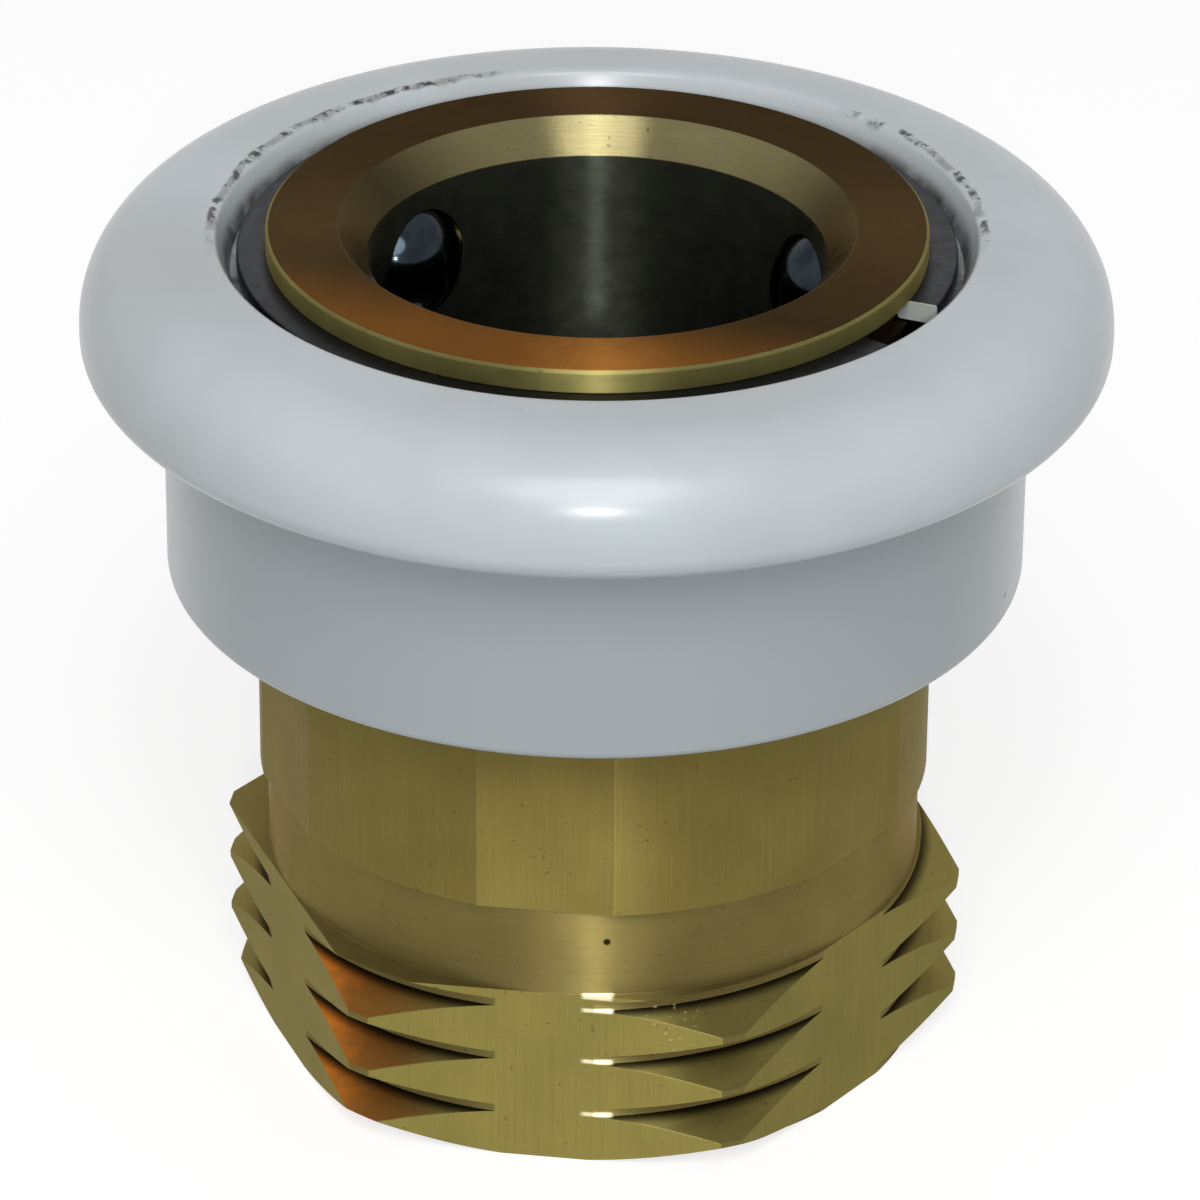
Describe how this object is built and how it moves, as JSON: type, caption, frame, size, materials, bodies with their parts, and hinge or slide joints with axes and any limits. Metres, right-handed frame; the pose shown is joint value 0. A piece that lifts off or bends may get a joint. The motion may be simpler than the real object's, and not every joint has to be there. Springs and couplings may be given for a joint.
{
  "type": "garden hose quick connector",
  "caption": "Brass snap coupling for a garden hose: a ball-lock socket with a white sliding release collar, and a male hose thread cut on the corners of its hexagonal bar.",
  "frame": {"origin": "centre of the hose end's face, on the axis of the fitting", "axes": "+Z along the axis, out of the socket's mouth; -Y through the flat of the hexagon with locking_ball_1"},
  "size_m": [0.0364, 0.0364, 0.0313],
  "materials": {
    "turned_brass": "turned, dull, with oxide in the recesses",
    "white_collar": "satin moulded acetal, slightly soiled",
    "spring_steel": "dark spring steel",
    "spring_wire": "drawn stainless wire",
    "seal_rubber": "matte",
    "ball_steel": "polished"
  },
  "bodies": {
    "body": {"brass_body": "turned_brass", "retaining_ring": "spring_steel", "bore_seal": "seal_rubber", "return_spring": "spring_wire"},
    "collar": {"release_collar": "white_collar"},
    "ball_1": {"locking_ball_1": "ball_steel"},
    "ball_2": {"locking_ball_2": "ball_steel"},
    "ball_3": {"locking_ball_3": "ball_steel"}
  },
  "joints": [
    {"name": "collar_slide", "type": "slide", "parent": "body", "child": "collar", "axis": [0, 0, -1], "range_m": [0, 0.0044], "stiffness_N_per_m": 1000, "springref_m": -0.004, "deforming": ["return_spring"]},
    {"name": "ball_1_slide", "type": "slide", "parent": "body", "child": "ball_1", "axis": [0, -1, 0], "range_m": [0, 0.0013]},
    {"name": "ball_2_slide", "type": "slide", "parent": "body", "child": "ball_2", "axis": [0.866, 0.5, 0], "range_m": [0, 0.0013]},
    {"name": "ball_3_slide", "type": "slide", "parent": "body", "child": "ball_3", "axis": [-0.866, 0.5, 0], "range_m": [0, 0.0013]}
  ],
  "couplings": [
    {"joint": "ball_1_slide", "follows": "collar_slide", "ratio": 0.29091},
    {"joint": "ball_2_slide", "follows": "collar_slide", "ratio": 0.29091},
    {"joint": "ball_3_slide", "follows": "collar_slide", "ratio": 0.29091}
  ]
}
